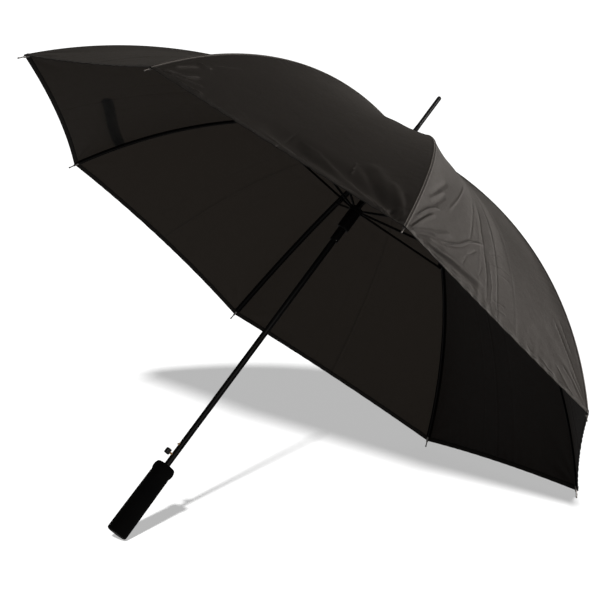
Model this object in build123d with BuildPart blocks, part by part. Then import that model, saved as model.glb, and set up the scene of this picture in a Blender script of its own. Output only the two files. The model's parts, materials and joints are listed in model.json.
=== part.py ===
from build123d import *
import math
import os

# Golf umbrella, automatic opening, shown open.
# Millimetres.  The shaft runs along +Z with the ferrule up, and the origin is the centre
# of the handle's bottom face.  The release button faces -Y, which is called the front.
# Names ending in _r, _d, _w, _h, _t and _z are radii, diameters, widths, heights,
# thicknesses and heights above the origin.

# ---------------------------------------------------------------- shared dimensions
overall_height = 1000.0

shaft_d = 11.0
shaft_bore_d = 9.4
shaft_z0, shaft_z1 = 12.0, 903.0

# canopy frame
n_ribs = 8
first_azimuth = -112.5  # rib_1; the others follow anticlockwise seen from above
panel_angle = 360.0 / n_ribs
pivot_r = 10.5  # crown pivots and runner pivots, from the shaft axis
crown_z = 884.0  # rib pivots
runner_z = 730.0  # stretcher pivots on the runner, open
link_len = 314.0  # rib pivot to bracket pivot, and length of the stretcher
bracket_rise = 8.5  # rib axis above the bracket pivot
corner = (636.0, 571.0)  # canopy corner on the rod: radius, height
joint_slope = 23.3  # downward slope of the rib at the bracket, degrees

# pivots
eye_r = 2.1
bracket_eye_half_w = 1.6
rivet_r = 0.9  # bracket to stretcher
joint_rivet_r = 0.8  # bracket to rod
rivet_clear = 0.05
wire_r = 0.6  # rings threaded through the crown and runner eyes
wire_hole_r = 0.74
pin_r = 1.0  # drive, crown and catch pins
rod_d = 3.2

# heights shared by the tube, the mechanism and the spring
drive_pin_z = 660.2
crown_pin_z = 868.0
catch_pin_y, catch_pin_z = -2.2, 132.0
tooth_z0, tooth_z1 = 190.0, 196.0
button_z = 170.0

# travel of the runner from open to closed
open_angle = math.acos((crown_z - runner_z) / 2 / link_len)  # link from the shaft axis
closed_angle = math.radians(1.0)
travel = 2 * link_len * (math.cos(closed_angle) - math.cos(open_angle))


# ---------------------------------------------------------------- helpers
def write(part, label):
    part.label = label
    export_step(part, "parts/" + label + ".step")


def azimuth(index):
    return first_azimuth + panel_angle * index


def azimuth_vector(degrees):
    return math.cos(math.radians(degrees)), math.sin(math.radians(degrees))


def radial_plane(degrees):
    """Plane of the shaft and one azimuth: local x outward, local y up."""
    c, s = azimuth_vector(degrees)
    return Plane(origin=(0, 0, 0), x_dir=(c, s, 0), z_dir=(s, -c, 0))


def turned_plane(degrees):
    """Horizontal plane with local x along one azimuth."""
    c, s = azimuth_vector(degrees)
    return Plane(origin=(0, 0, 0), x_dir=(c, s, 0), z_dir=(0, 0, 1))


def shifted(point, dx, dy):
    return (point[0] + dx, point[1] + dy)


def closed_polyline(*points):
    """Closed outline, added to the open BuildLine."""
    Polyline(*points, points[0])


class FrameArc:
    """Circular arc of the frame in a radial plane; its angles fall towards the corner."""

    def __init__(self, start, end, slope):
        """Arc that slopes down by slope degrees at start and passes through end."""
        slope = math.radians(slope)
        normal = (-math.sin(slope), -math.cos(slope))
        dx, dy = end[0] - start[0], end[1] - start[1]
        self.radius = (dx**2 + dy**2) / (2 * (dx * normal[0] + dy * normal[1]))
        self.centre = shifted(start, self.radius * normal[0], self.radius * normal[1])

    def angle(self, point):
        return math.atan2(point[1] - self.centre[1], point[0] - self.centre[0])

    def beyond(self, angle, distance):
        """Angle reached by moving a distance outward along the arc."""
        return angle - distance / self.radius

    def point(self, angle, lift=0.0):
        reach = self.radius + lift
        return shifted(self.centre, reach * math.cos(angle), reach * math.sin(angle))

    def draw_band(self, start, end, low, high):
        """Outline between two angles and two lifts, added to the open BuildLine."""
        middle = (start + end) / 2
        top = [self.point(a, high) for a in (start, middle, end)]
        bottom = [self.point(a, low) for a in (end, middle, start)]
        ThreePointArc(*top)
        Line(top[-1], bottom[0])
        ThreePointArc(*bottom)
        Line(bottom[-1], top[0])


# ---------------------------------------------------------------- frame layout
# pivots in a radial plane: (radius, height)
crown_pivot = (pivot_r, crown_z)
runner_pivot = (pivot_r, runner_z)
bracket_pivot = shifted(
    crown_pivot, link_len * math.sin(open_angle), -link_len * math.cos(open_angle)
)
joint = shifted(bracket_pivot, 0, bracket_rise)  # rod eye

rib_arc = FrameArc(joint, crown_pivot, joint_slope)
rod_arc = FrameArc(joint, corner, joint_slope)
rib_start, rib_end = rib_arc.angle(crown_pivot), rib_arc.angle(joint)
rod_start, rod_end = rod_arc.angle(joint), rod_arc.angle(corner)

# ---------------------------------------------------------------- rib
rib_w, rib_h = 3.5, 3.6
flute_w, flute_d = 1.9, 2.5
rib_end_gap = 4.4  # channel stops this far short of the joint
rib_eye_half = 1.5  # half width and half height of the flattened end
cheek_t = 0.8
rivet_head_r, rivet_head_t = 1.5, 0.45


def make_rib(plane):
    with BuildPart() as rib:
        with BuildSketch(plane):
            with BuildLine():
                rib_arc.draw_band(
                    rib_arc.beyond(rib_start, 1.0),
                    rib_arc.beyond(rib_end, -rib_end_gap),
                    -rib_h / 2,
                    rib_h / 2,
                )
            make_face()
        extrude(amount=rib_w / 2, both=True)
        # flute along the underside, open at the outer end
        with BuildSketch(plane):
            with BuildLine():
                rib_arc.draw_band(
                    rib_arc.beyond(rib_start, 8.6),
                    rib_arc.beyond(rib_end, 0.1 - rib_end_gap),
                    -rib_h / 2 - 1,
                    -rib_h / 2 + flute_d,
                )
            make_face()
        extrude(amount=flute_w / 2, both=True, mode=Mode.SUBTRACT)
        # flattened eye at the crown
        with BuildSketch(plane):
            with Locations(crown_pivot):
                Circle(eye_r)
        extrude(amount=rib_eye_half, both=True)
        with BuildSketch(plane):
            with BuildLine():
                rib_arc.draw_band(
                    rib_start, rib_arc.beyond(rib_start, 7.6), -rib_eye_half, rib_eye_half
                )
            make_face()
        extrude(amount=rib_eye_half, both=True)
        with BuildSketch(plane):
            with Locations(crown_pivot):
                Circle(wire_hole_r)
        extrude(amount=4, both=True, mode=Mode.SUBTRACT)
        # bracket cheeks clamped on both sides of the rib end
        cheek_back = rib_arc.point(rib_arc.beyond(rib_end, -15.0))
        for side in (1, -1):
            with BuildSketch(plane.offset(side * rib_w / 2)):
                with BuildLine():
                    closed_polyline(
                        shifted(joint, 2.4, 1.9),
                        shifted(joint, 3.1, -1.0),
                        shifted(bracket_pivot, 2.7, -1.3),
                        shifted(bracket_pivot, 1.0, -2.7),
                        shifted(bracket_pivot, -1.4, -2.5),
                        shifted(bracket_pivot, -3.0, 0.4),
                        shifted(cheek_back, -0.4, -1.7),
                        shifted(cheek_back, 1.0, 1.7),
                        shifted(joint, -0.4, 2.5),
                    )
                make_face()
            extrude(amount=side * cheek_t)
        # rivets through the cheeks, then their heads
        for centre, radius in ((bracket_pivot, rivet_r), (joint, joint_rivet_r)):
            with BuildSketch(plane):
                with Locations(centre):
                    Circle(radius)
            extrude(amount=rib_w / 2 + cheek_t, both=True)
        for centre in (bracket_pivot, joint):
            for side in (1, -1):
                with BuildSketch(plane.offset(side * (rib_w / 2 + cheek_t))):
                    with Locations(centre):
                        Circle(rivet_head_r)
                extrude(amount=side * rivet_head_t, taper=25)
    return rib.part


# ---------------------------------------------------------------- rod
socket_half = 2.0  # half width and half height of the crimped socket
rod_tab_half_h = 1.7


def make_rod(plane):
    start = rod_arc.beyond(rod_start, 1.2)
    with BuildPart() as rod:
        with BuildLine(plane) as path:
            ThreePointArc(
                rod_arc.point(start),
                rod_arc.point((start + rod_end) / 2),
                rod_arc.point(rod_end),
            )
        with BuildSketch(Plane(origin=path.line @ 0, z_dir=path.line % 0)):
            Circle(rod_d / 2)
        sweep(path=path.line)
        # crimped socket
        with BuildSketch(plane):
            with BuildLine():
                rod_arc.draw_band(
                    rod_arc.beyond(rod_start, 4.6),
                    rod_arc.beyond(rod_start, 17.0),
                    -socket_half,
                    socket_half,
                )
            make_face()
        extrude(amount=socket_half, both=True)
        # the socket's long edges are the only ones of this length
        fillet(rod.edges().filter_by(lambda e: 11.5 < e.length < 13.5), 0.6)
        # eye at the bracket
        with BuildSketch(plane):
            with Locations(joint):
                Circle(eye_r)
            with BuildLine():
                rod_arc.draw_band(
                    rod_start, rod_arc.beyond(rod_start, 6.0), -rod_tab_half_h, rod_tab_half_h
                )
            make_face()
        extrude(amount=bracket_eye_half_w, both=True)
        with BuildSketch(plane):
            with Locations(joint):
                Circle(joint_rivet_r + rivet_clear)
        extrude(amount=4, both=True, mode=Mode.SUBTRACT)
    return rod.part


# ---------------------------------------------------------------- rib tip
tip_wall = 0.55
tip_overlap = 9.0  # socket length over the rod
tip_socket_len = 10.6
pin_len = 13.0  # pin past the canopy corner
tip_pin_r = 1.15
tip_head_r, tip_head_len = 1.5, 3.2


def make_tip(plane):
    origin = plane.from_local_coords((*corner, 0))
    ahead = shifted(corner, math.sin(rod_end), -math.cos(rod_end))
    direction = plane.from_local_coords((*ahead, 0)) - origin
    base = Plane(origin=origin, z_dir=direction)
    with BuildPart() as tip:
        # socket over the rod end, then a slim pin with a rounded head
        with BuildSketch(base.offset(-tip_overlap)):
            Circle(rod_d / 2 + tip_wall)
        extrude(amount=tip_socket_len, taper=0.8)
        with BuildSketch(base):
            Circle(tip_pin_r)
        extrude(amount=pin_len - 1.5)
        with BuildSketch(base.offset(pin_len - tip_head_len)):
            Circle(tip_head_r)
        extrude(amount=tip_head_len)
        fillet(tip.faces().sort_by(Axis(origin, direction))[-1].edges(), 1.3)
        # room for the rod
        with BuildSketch(base.offset(-tip_overlap - 0.5)):
            Circle(rod_d / 2 + 0.11)
        extrude(amount=tip_overlap + 0.6, mode=Mode.SUBTRACT)
    return tip.part


# ---------------------------------------------------------------- stretcher
stretcher_w, stretcher_h = 2.4, 3.6
stretcher_flute_w, stretcher_flute_d = 1.24, 2.3
stretcher_flute_inset = 14  # from each pivot
neck_half_h = 1.4  # slimmer ends next to the eyes
neck_start, neck_end = 5, 9  # distance from the pivot where the height grows
neck_tab_len = 6


def make_stretcher(plane):
    dx, dy = bracket_pivot[0] - runner_pivot[0], bracket_pivot[1] - runner_pivot[1]
    length = math.hypot(dx, dy)

    def at(along, across):
        """Point along the stretcher from the runner pivot, and above its axis."""
        return shifted(
            runner_pivot,
            (dx * along - dy * across) / length,
            (dy * along + dx * across) / length,
        )

    half_h = stretcher_h / 2
    flute_top = -half_h + stretcher_flute_d
    with BuildPart() as stretcher:
        with BuildSketch(plane):
            with BuildLine():
                closed_polyline(
                    at(neck_start, -neck_half_h),
                    at(neck_end, -half_h),
                    at(length - neck_end, -half_h),
                    at(length - neck_start, -neck_half_h),
                    at(length - neck_start, neck_half_h),
                    at(length - neck_end, half_h),
                    at(neck_end, half_h),
                    at(neck_start, neck_half_h),
                )
            make_face()
        extrude(amount=stretcher_w / 2, both=True)
        # flute along the underside
        with BuildSketch(plane):
            with BuildLine():
                closed_polyline(
                    at(stretcher_flute_inset, -half_h - 1),
                    at(length - stretcher_flute_inset, -half_h - 1),
                    at(length - stretcher_flute_inset, flute_top),
                    at(stretcher_flute_inset, flute_top),
                )
            make_face()
        extrude(amount=stretcher_flute_w / 2, both=True, mode=Mode.SUBTRACT)
        # eyes at the runner and at the bracket
        for centre, tab_start, tab_end, half_w in (
            (runner_pivot, 0, neck_tab_len, stretcher_w / 2),
            (bracket_pivot, length, length - neck_tab_len, bracket_eye_half_w),
        ):
            with BuildSketch(plane):
                with Locations(centre):
                    Circle(eye_r)
                with BuildLine():
                    closed_polyline(
                        at(tab_start, -neck_half_h),
                        at(tab_end, -neck_half_h),
                        at(tab_end, neck_half_h),
                        at(tab_start, neck_half_h),
                    )
                make_face()
            extrude(amount=half_w, both=True)
        with BuildSketch(plane):
            with Locations(runner_pivot):
                Circle(wire_hole_r)
            with Locations(bracket_pivot):
                Circle(rivet_r + rivet_clear)
        extrude(amount=4, both=True, mode=Mode.SUBTRACT)
    return stretcher.part


# ---------------------------------------------------------------- canopy
fabric_t = 0.8
fabric_lift = 3.1  # inside of the fabric above the rib axis
fabric_r0 = 13.6
sector_gap = 0.08  # sector edge to the mid-panel line
mid_panel_cos = math.cos(math.radians(panel_angle / 2))


def sheet_points(lift):
    """Canopy profile over a rib, at one lift above the rib axis, from crown to corner."""
    inner = [
        rib_arc.point(rib_start + (rib_end - rib_start) * i / 8, lift) for i in range(9)
    ]
    outer = [
        rod_arc.point(rod_start + (rod_end - rod_start) * i / 8, lift) for i in range(1, 9)
    ]
    return inner + outer


def at_radius(points, radius):
    """Point of a profile at one radius, by straight interpolation."""
    for p, q in zip(points, points[1:]):
        if p[0] <= radius <= q[0]:
            fraction = (radius - p[0]) / (q[0] - p[0])
            return (radius, p[1] + fraction * (q[1] - p[1]))


def mid_panel(points):
    """A rib profile carried straight across the panel to its middle line."""
    return [(p[0] * mid_panel_cos, p[1]) for p in points]


def fabric_profile(lift):
    """Mid-panel profile that starts at the hole round the crown."""
    points = sheet_points(lift)
    start = at_radius(points, fabric_r0)
    return mid_panel([start] + [p for p in points if p[0] > fabric_r0 + 12])


def make_sector(degrees):
    """Canopy from one mid-panel line over the rib to the next mid-panel line.
    Each panel is a single curved sheet, straight across from rib to rib."""
    c, s = azimuth_vector(degrees)
    rib_plane = Plane(origin=(0, 0, 0), z_dir=(-s, c, 0))
    with BuildPart() as sector:
        with BuildSketch(radial_plane(degrees + panel_angle / 2).offset(sector_gap)):
            with BuildLine():
                outside = Spline(fabric_profile(fabric_lift + fabric_t))
                inside = Spline(fabric_profile(fabric_lift))
                Line(outside @ 0, inside @ 0)
                Line(outside @ 1, inside @ 1)
            make_face()
        extrude(amount=260)
        split(bisect_by=rib_plane, keep=Keep.TOP)
        mirror(about=rib_plane)
    return sector.part


# ---------------------------------------------------------------- closure strap
strap_w, strap_t = 21.0, 1.2
strap_r0, strap_r1 = 516.0, 536.0  # the strap is centred between these, along the slope
strap_lift = 1.0  # above the mid-panel profile
strap_past_middle = 16.0  # towards rib_1
strap_reach = 200.0  # from the panel's middle line towards rib_8


def make_closure_strap():
    """Flat strap over the panel between rib_8 and rib_1."""
    profile = mid_panel(sheet_points(fabric_lift + fabric_t))
    start, end = at_radius(profile, strap_r0), at_radius(profile, strap_r1)
    dx, dz = end[0] - start[0], end[1] - start[1]
    length = math.hypot(dx, dz)
    dx, dz = dx / length, dz / length
    middle = ((start[0] + end[0]) / 2, (start[1] + end[1]) / 2)

    def at(along, above):
        return shifted(middle, dx * along - dz * above, dz * along + dx * above)

    plane = radial_plane(azimuth(n_ribs - 1) + panel_angle / 2)
    with BuildPart() as strap:
        with BuildSketch(plane.offset(-strap_past_middle)):
            with BuildLine():
                closed_polyline(
                    at(-strap_w / 2, strap_lift),
                    at(strap_w / 2, strap_lift),
                    at(strap_w / 2, strap_lift + strap_t),
                    at(-strap_w / 2, strap_lift + strap_t),
                )
            make_face()
        extrude(amount=strap_past_middle + strap_reach)
    return strap.part


# ---------------------------------------------------------------- shaft tube
drive_slot_w = 2.6
drive_slot_z0 = drive_pin_z - travel - 2.0
drive_slot_z1 = drive_pin_z + 2.4
catch_slot_z, catch_slot_len, catch_slot_w = 181.0, 36.0, 3.2


def make_shaft_tube():
    with BuildPart() as tube:
        with BuildSketch(Plane.XY.offset(shaft_z0)):
            Circle(shaft_d / 2)
            Circle(shaft_bore_d / 2, mode=Mode.SUBTRACT)
        extrude(amount=shaft_z1 - shaft_z0)
        # drive pin slots on the +X and -X sides
        with BuildSketch(Plane.YZ):
            with Locations((0, (drive_slot_z0 + drive_slot_z1) / 2)):
                SlotOverall(drive_slot_z1 - drive_slot_z0, drive_slot_w, rotation=90)
        extrude(amount=8, both=True, mode=Mode.SUBTRACT)
        # catch slot in the front
        with BuildSketch(Plane.XZ):
            with Locations((0, catch_slot_z)):
                SlotOverall(catch_slot_len, catch_slot_w, rotation=90)
        extrude(amount=8, mode=Mode.SUBTRACT)
        # holes for the catch pin and the crown pin
        with BuildSketch(Plane.YZ):
            with Locations((catch_pin_y, catch_pin_z)):
                Circle(pin_r)
            with Locations((0, crown_pin_z)):
                Circle(pin_r)
        extrude(amount=8, both=True, mode=Mode.SUBTRACT)
    return tube.part


# ---------------------------------------------------------------- pins and wire rings
def make_pin(y, z, length, end_fillet=0.0):
    """Pin along X, centred on the shaft."""
    with BuildPart() as pin:
        with BuildSketch(Plane.YZ.offset(-length / 2)):
            with Locations((y, z)):
                Circle(pin_r)
        extrude(amount=length)
        if end_fillet:
            fillet(pin.edges(), end_fillet)
    return pin.part


def make_wire_ring(z):
    with BuildPart() as ring:
        with BuildSketch(Plane.XZ):
            with Locations((pivot_r, z)):
                Circle(wire_r)
        revolve(axis=Axis.Z)
    return ring.part


# ---------------------------------------------------------------- crown
# radial slots in the crown and runner discs
slot_floor_r, slot_len = 8.1, 10
slot_centre = (slot_floor_r + slot_len / 2, 0)
rib_slot_w, stretcher_slot_w = 3.9, 2.8

disc_half_h = 2.6  # disc above and below the crown pivots; above only on the runner
crown_z0, crown_z1 = 860.0, 889.4
crown_sleeve_r, crown_disc_r, crown_boss_r = 7.6, 13.0, 8.4


def make_crown():
    disc_z0, disc_z1 = crown_z - disc_half_h, crown_z + disc_half_h
    with BuildPart() as crown:
        # sleeve, disc and boss, from below
        with BuildSketch(Plane.XY.offset(crown_z0)):
            Circle(crown_sleeve_r)
        extrude(amount=disc_z0 - crown_z0)
        chamfer(crown.faces().sort_by(Axis.Z)[0].edges(), 0.6)
        with BuildSketch(Plane.XY.offset(disc_z0)):
            Circle(crown_disc_r)
        extrude(amount=disc_z1 - disc_z0)
        with BuildSketch(Plane.XY.offset(disc_z1)):
            Circle(crown_boss_r)
        extrude(amount=crown_z1 - disc_z1)
        for k in range(n_ribs):
            with BuildSketch(Plane.XY.offset(disc_z0 - 1)):
                with Locations(turned_plane(azimuth(k))):
                    with Locations(slot_centre):
                        Rectangle(slot_len, rib_slot_w)
            extrude(amount=disc_z1 - disc_z0 + 1, mode=Mode.SUBTRACT)
        # groove for the wire ring
        with BuildSketch(Plane.XZ):
            with Locations(crown_pivot):
                Circle(wire_r)
        revolve(axis=Axis.Z, mode=Mode.SUBTRACT)
        # shaft bore and pin hole
        with BuildSketch(Plane.XY.offset(crown_z0 - 10)):
            Circle(shaft_d / 2)
        extrude(amount=60, mode=Mode.SUBTRACT)
        with BuildSketch(Plane.YZ):
            with Locations((0, crown_pin_z)):
                Circle(pin_r)
        extrude(amount=12, both=True, mode=Mode.SUBTRACT)
    return crown.part


# (radius, height)
rosette_outline = [
    (5.6, 889.5), (15.6, 889.5), (16.0, 889.9),
    (15.4, 890.6), (8.0, 891.9), (5.6, 891.9),
]


def make_canopy_rosette():
    with BuildPart() as rosette:
        with BuildSketch(Plane.XZ):
            with BuildLine():
                closed_polyline(*rosette_outline)
            make_face()
        revolve(axis=Axis.Z)
    return rosette.part


# ---------------------------------------------------------------- ferrule
ferrule_r = 4.0
ferrule_base_z = 892.0
plug_r, plug_z0 = 4.6, 880.0  # plug inside the tube
ferrule_socket_r = 5.52  # round the tube end
ferrule_socket_z = shaft_z1 + 0.1
# flare from base to tip: (radius, height above the base)
ferrule_flare = [(9.6, 1.2), (7.0, 9.0), (4.9, 22.0), (ferrule_r, 40.0)]


def make_ferrule():
    flare = [shifted(p, 0, ferrule_base_z) for p in ferrule_flare]
    dome_start = (ferrule_r, overall_height - ferrule_r)
    top = (0, overall_height)
    with BuildPart() as ferrule:
        with BuildSketch(Plane.XZ):
            with BuildLine():
                Polyline(
                    (0, plug_z0),
                    (plug_r, plug_z0),
                    (plug_r, ferrule_socket_z),
                    (ferrule_socket_r, ferrule_socket_z),
                    (ferrule_socket_r, ferrule_base_z),
                    (9.4, ferrule_base_z),
                    flare[0],
                )
                Spline(*flare, tangents=((-0.1, 1), (-0.02, 1)))
                Line(flare[-1], dome_start)
                RadiusArc(dome_start, top, -ferrule_r)
                Line(top, (0, plug_z0))
            make_face()
        revolve(axis=Axis.Z)
    return ferrule.part


# ---------------------------------------------------------------- runner
runner_bore_r = 5.56
runner_neck_r, runner_body_r, runner_flange_r, runner_boss_r = 7.75, 11.5, 13.5, 7.9
neck_z0, neck_z1, body_z1 = 657.0, 685.0, 724.4
runner_boss_h = 2.4
window_w = 4.2
# the window drops over the catch tooth when the runner is down
window_z0 = tooth_z0 + travel - 0.35
window_z1 = tooth_z1 + travel + 2.5


def make_runner():
    flange_z1 = runner_z + disc_half_h
    with BuildPart() as runner:
        # neck, body, flange and boss, from below
        with BuildSketch(Plane.XY.offset(neck_z0)):
            Circle(runner_neck_r)
        extrude(amount=neck_z1 - neck_z0)
        with BuildSketch(Plane.XY.offset(neck_z1)):
            Circle(runner_body_r)
        extrude(amount=body_z1 - neck_z1)
        # outer edge of the body's underside
        body_underside = runner.faces().filter_by(Plane.XY).sort_by(Axis.Z)[1]
        fillet(body_underside.edges().group_by(SortBy.LENGTH)[-1], 2.2)
        with BuildSketch(Plane.XY.offset(body_z1)):
            Circle(runner_flange_r)
        extrude(amount=flange_z1 - body_z1)
        with BuildSketch(Plane.XY.offset(flange_z1)):
            Circle(runner_boss_r)
        extrude(amount=runner_boss_h)
        for k in range(n_ribs):
            with BuildSketch(Plane.XY.offset(runner_z - 2.4)):
                with Locations(turned_plane(azimuth(k))):
                    with Locations(slot_centre):
                        Rectangle(slot_len, stretcher_slot_w)
            extrude(amount=6, mode=Mode.SUBTRACT)
        # groove for the wire ring
        with BuildSketch(Plane.XZ):
            with Locations(runner_pivot):
                Circle(wire_r)
        revolve(axis=Axis.Z, mode=Mode.SUBTRACT)
        # bore, front window and drive pin hole
        with BuildSketch(Plane.XY.offset(neck_z0 - 1)):
            Circle(runner_bore_r)
        extrude(amount=100, mode=Mode.SUBTRACT)
        with BuildSketch(Plane.XZ):
            with Locations((0, (window_z0 + window_z1) / 2)):
                Rectangle(window_w, window_z1 - window_z0)
        extrude(amount=12, mode=Mode.SUBTRACT)
        with BuildSketch(Plane.YZ):
            with Locations((0, drive_pin_z)):
                Circle(pin_r)
        extrude(amount=12, both=True, mode=Mode.SUBTRACT)
    return runner.part


# ---------------------------------------------------------------- main spring
coil_r, coil_wire_r, coil_pitch, coil_turns = 3.6, 0.45, 8.0, 22
coil_h = coil_pitch * coil_turns
coil_z0 = drive_pin_z + 15.8
coil_z1 = coil_z0 + coil_h
spring_pin_gap = 1.2  # wire end to pin axis


def make_main_spring():
    """Extension spring inside the tube, one continuous wire: a leg from the drive pin,
    the coil, and a leg up to the crown pin."""
    with BuildPart() as spring:
        with BuildLine() as wire:
            coil = Helix(
                pitch=coil_pitch, height=coil_h, radius=coil_r, center=(0, 0, coil_z0)
            )
            coil_in = coil % 0
            coil_out = coil % 1
            Spline(
                (0, 0, drive_pin_z + spring_pin_gap),
                (0, 0, drive_pin_z + 7.5),
                coil @ 0,
                tangents=((0, 0, 1), (coil_in.X, coil_in.Y, coil_in.Z)),
            )
            Spline(
                coil @ 1,
                (0, 0, coil_z1 + 8.0),
                (0, 0, crown_pin_z - spring_pin_gap),
                tangents=((coil_out.X, coil_out.Y, coil_out.Z), (0, 0, 1)),
            )
        with BuildSketch(Plane(origin=wire.wire() @ 0, z_dir=wire.wire() % 0)):
            Circle(coil_wire_r)
        sweep(path=wire.wire(), is_frenet=False, transition=Transition.ROUND)
    return spring.part


# ---------------------------------------------------------------- release catch
catch_w = 2.6
lug_r = 1.9
strip_front_y, strip_back_y = -4.45, -3.80
tooth_root_y, tooth_front_y = -4.0, -8.3
stem_y, stem_len, stem_h = -8.7, 9.4, 3.4  # stem_y is its middle


def make_release_catch():
    with BuildPart() as catch:
        # strip inside the tube with a bearing lug at its foot: (y, z)
        with BuildSketch(Plane.YZ):
            with BuildLine():
                closed_polyline(
                    (catch_pin_y - lug_r, catch_pin_z - 1.0),
                    (strip_front_y, catch_pin_z + 6.0),
                    (strip_front_y, tooth_z1 + 1.0),
                    (strip_back_y, tooth_z1 + 1.0),
                    (strip_back_y, catch_pin_z + 8.0),
                    (-0.4, catch_pin_z + 1.5),
                    (-0.3, catch_pin_z - 1.0),
                )
            make_face()
            with Locations((catch_pin_y, catch_pin_z)):
                Circle(lug_r)
        extrude(amount=catch_w / 2, both=True)
        with BuildSketch(Plane.YZ):
            with Locations((catch_pin_y, catch_pin_z)):
                Circle(pin_r + 0.05)
        extrude(amount=3, both=True, mode=Mode.SUBTRACT)
        # tooth: flat below, ramped above
        with BuildSketch(Plane.YZ):
            with BuildLine():
                closed_polyline(
                    (tooth_root_y, tooth_z0),
                    (tooth_front_y, tooth_z0),
                    (tooth_front_y, tooth_z0 + 1.2),
                    (-5.0, tooth_z1),
                    (tooth_root_y, tooth_z1),
                )
            make_face()
        extrude(amount=catch_w / 2, both=True)
        # stem to the button
        with BuildSketch(Plane.YZ):
            with Locations((stem_y, button_z)):
                Rectangle(stem_len, stem_h)
        extrude(amount=catch_w / 2, both=True)
    return catch.part


button_w, button_h, button_depth = 9.0, 11.0, 8.0
button_back = 12.0  # distance in front of the shaft axis
stem_clear = 0.04


def make_release_button():
    with BuildPart() as button:
        with BuildSketch(Plane.XZ.offset(button_back)):
            with Locations((0, button_z)):
                RectangleRounded(button_w, button_h, 2.6)
        extrude(amount=button_depth)
        fillet(button.faces().sort_by(Axis.Y)[0].edges(), 2.0)
        # socket for the stem
        with BuildSketch(Plane.XZ.offset(button_back - 1)):
            with Locations((0, button_z)):
                Rectangle(catch_w + stem_clear, stem_h + stem_clear)
        extrude(amount=2.45, mode=Mode.SUBTRACT)
    return button.part


# the two faces of the bowed leaf, back up and down again: (y, z)
leaf_front = [(4.1, 141.0), (0.5, 149.0), (-3.72, 158.0), (0.5, 167.0), (4.1, 175.0)]
leaf_back = [(4.45, 175.0), (0.9, 166.8), (-3.35, 158.0), (0.9, 149.2), (4.45, 141.0)]
leaf_w = 2.2


def make_catch_spring():
    """Bowed leaf between the tube's rear wall and the back of the catch."""
    with BuildPart() as leaf:
        with BuildSketch(Plane.YZ):
            with BuildLine():
                Spline(*leaf_front)
                Line(leaf_front[-1], leaf_back[0])
                Spline(*leaf_back)
                Line(leaf_back[-1], leaf_front[0])
            make_face()
        extrude(amount=leaf_w / 2, both=True)
    return leaf.part


# ---------------------------------------------------------------- handle
handle_len = 149.0
grip_r_bottom, grip_r_neck = 19.7, 18.5
grip_bottom_round = 4.0
collar_r = 20.2
core_r, core_z0, core_len = 9.0, 2.6, 142.0
cap_r, cap_t = 13.0, 2.0
cap_plug_r, cap_plug_len = 5.4, 9.0


def make_handle_core():
    with BuildPart() as core:
        with BuildSketch(Plane.XY.offset(core_z0)):
            Circle(core_r)
            Circle(shaft_d / 2, mode=Mode.SUBTRACT)
        extrude(amount=core_len)
    return core.part


def make_handle_grip():
    bottom_edge = (grip_r_bottom - grip_bottom_round, 0)
    side_start = (grip_r_bottom, grip_bottom_round)
    neck = (grip_r_neck, 126.5)
    collar_start, collar_end = (18.5, 130.4), (18.6, 145.8)
    top_edge = (14.6, handle_len)
    with BuildPart() as grip:
        with BuildSketch(Plane.XZ):
            with BuildLine():
                Line((core_r, 0), bottom_edge)
                RadiusArc(bottom_edge, side_start, -grip_bottom_round)
                Spline(
                    side_start, (19.35, 50.0), (18.75, 100.0), neck, tangents=((0, 1), (0, 1))
                )
                # neck groove, collar and rounded top
                ThreePointArc(neck, (18.1, 128.6), collar_start)
                ThreePointArc(collar_start, (collar_r, 139.0), collar_end)
                ThreePointArc(collar_end, (17.2, 147.9), top_edge)
                Polyline(
                    top_edge, (5.6, handle_len), (5.6, 145.0), (core_r, 145.0), (core_r, 0)
                )
            make_face()
        revolve(axis=Axis.Z)
        # recess for the end cap
        with BuildSketch(Plane.XY):
            Circle(cap_r + 0.05)
        extrude(amount=cap_t + 0.1, mode=Mode.SUBTRACT)
    return grip.part


def make_handle_end_cap():
    with BuildPart() as cap:
        with BuildSketch(Plane.XY):
            Circle(cap_r)
        extrude(amount=cap_t)
        chamfer(cap.faces().sort_by(Axis.Z)[0].edges(), 0.4)
        with BuildSketch(Plane.XY.offset(cap_t)):
            Circle(cap_plug_r)
        extrude(amount=cap_plug_len)
    return cap.part


# ---------------------------------------------------------------- build
os.makedirs("parts", exist_ok=True)

for k in range(n_ribs):
    arm_plane = radial_plane(azimuth(k))
    write(make_rib(arm_plane), f"rib_{k + 1}")
    write(make_rod(arm_plane), f"rod_{k + 1}")
    write(make_tip(arm_plane), f"rib_tip_{k + 1}")
    write(make_stretcher(arm_plane), f"stretcher_{k + 1}")
    write(make_sector(azimuth(k)), f"canopy_{k + 1}")

write(make_closure_strap(), "closure_strap")
write(make_shaft_tube(), "shaft_tube")
write(make_crown(), "crown")
write(make_wire_ring(crown_z), "crown_wire")
write(make_pin(0, crown_pin_z, length=14.8), "crown_pin")
write(make_canopy_rosette(), "canopy_rosette")
write(make_ferrule(), "ferrule")
write(make_runner(), "runner")
write(make_wire_ring(runner_z), "runner_wire")
write(make_pin(0, drive_pin_z, length=16.4, end_fillet=0.35), "drive_pin")
write(make_main_spring(), "main_spring")
write(make_release_catch(), "release_catch")
write(make_release_button(), "release_button")
write(make_pin(catch_pin_y, catch_pin_z, length=8.8), "catch_pin")
write(make_catch_spring(), "catch_spring")
write(make_handle_core(), "handle_core")
write(make_handle_grip(), "handle_grip")
write(make_handle_end_cap(), "handle_end_cap")
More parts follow.
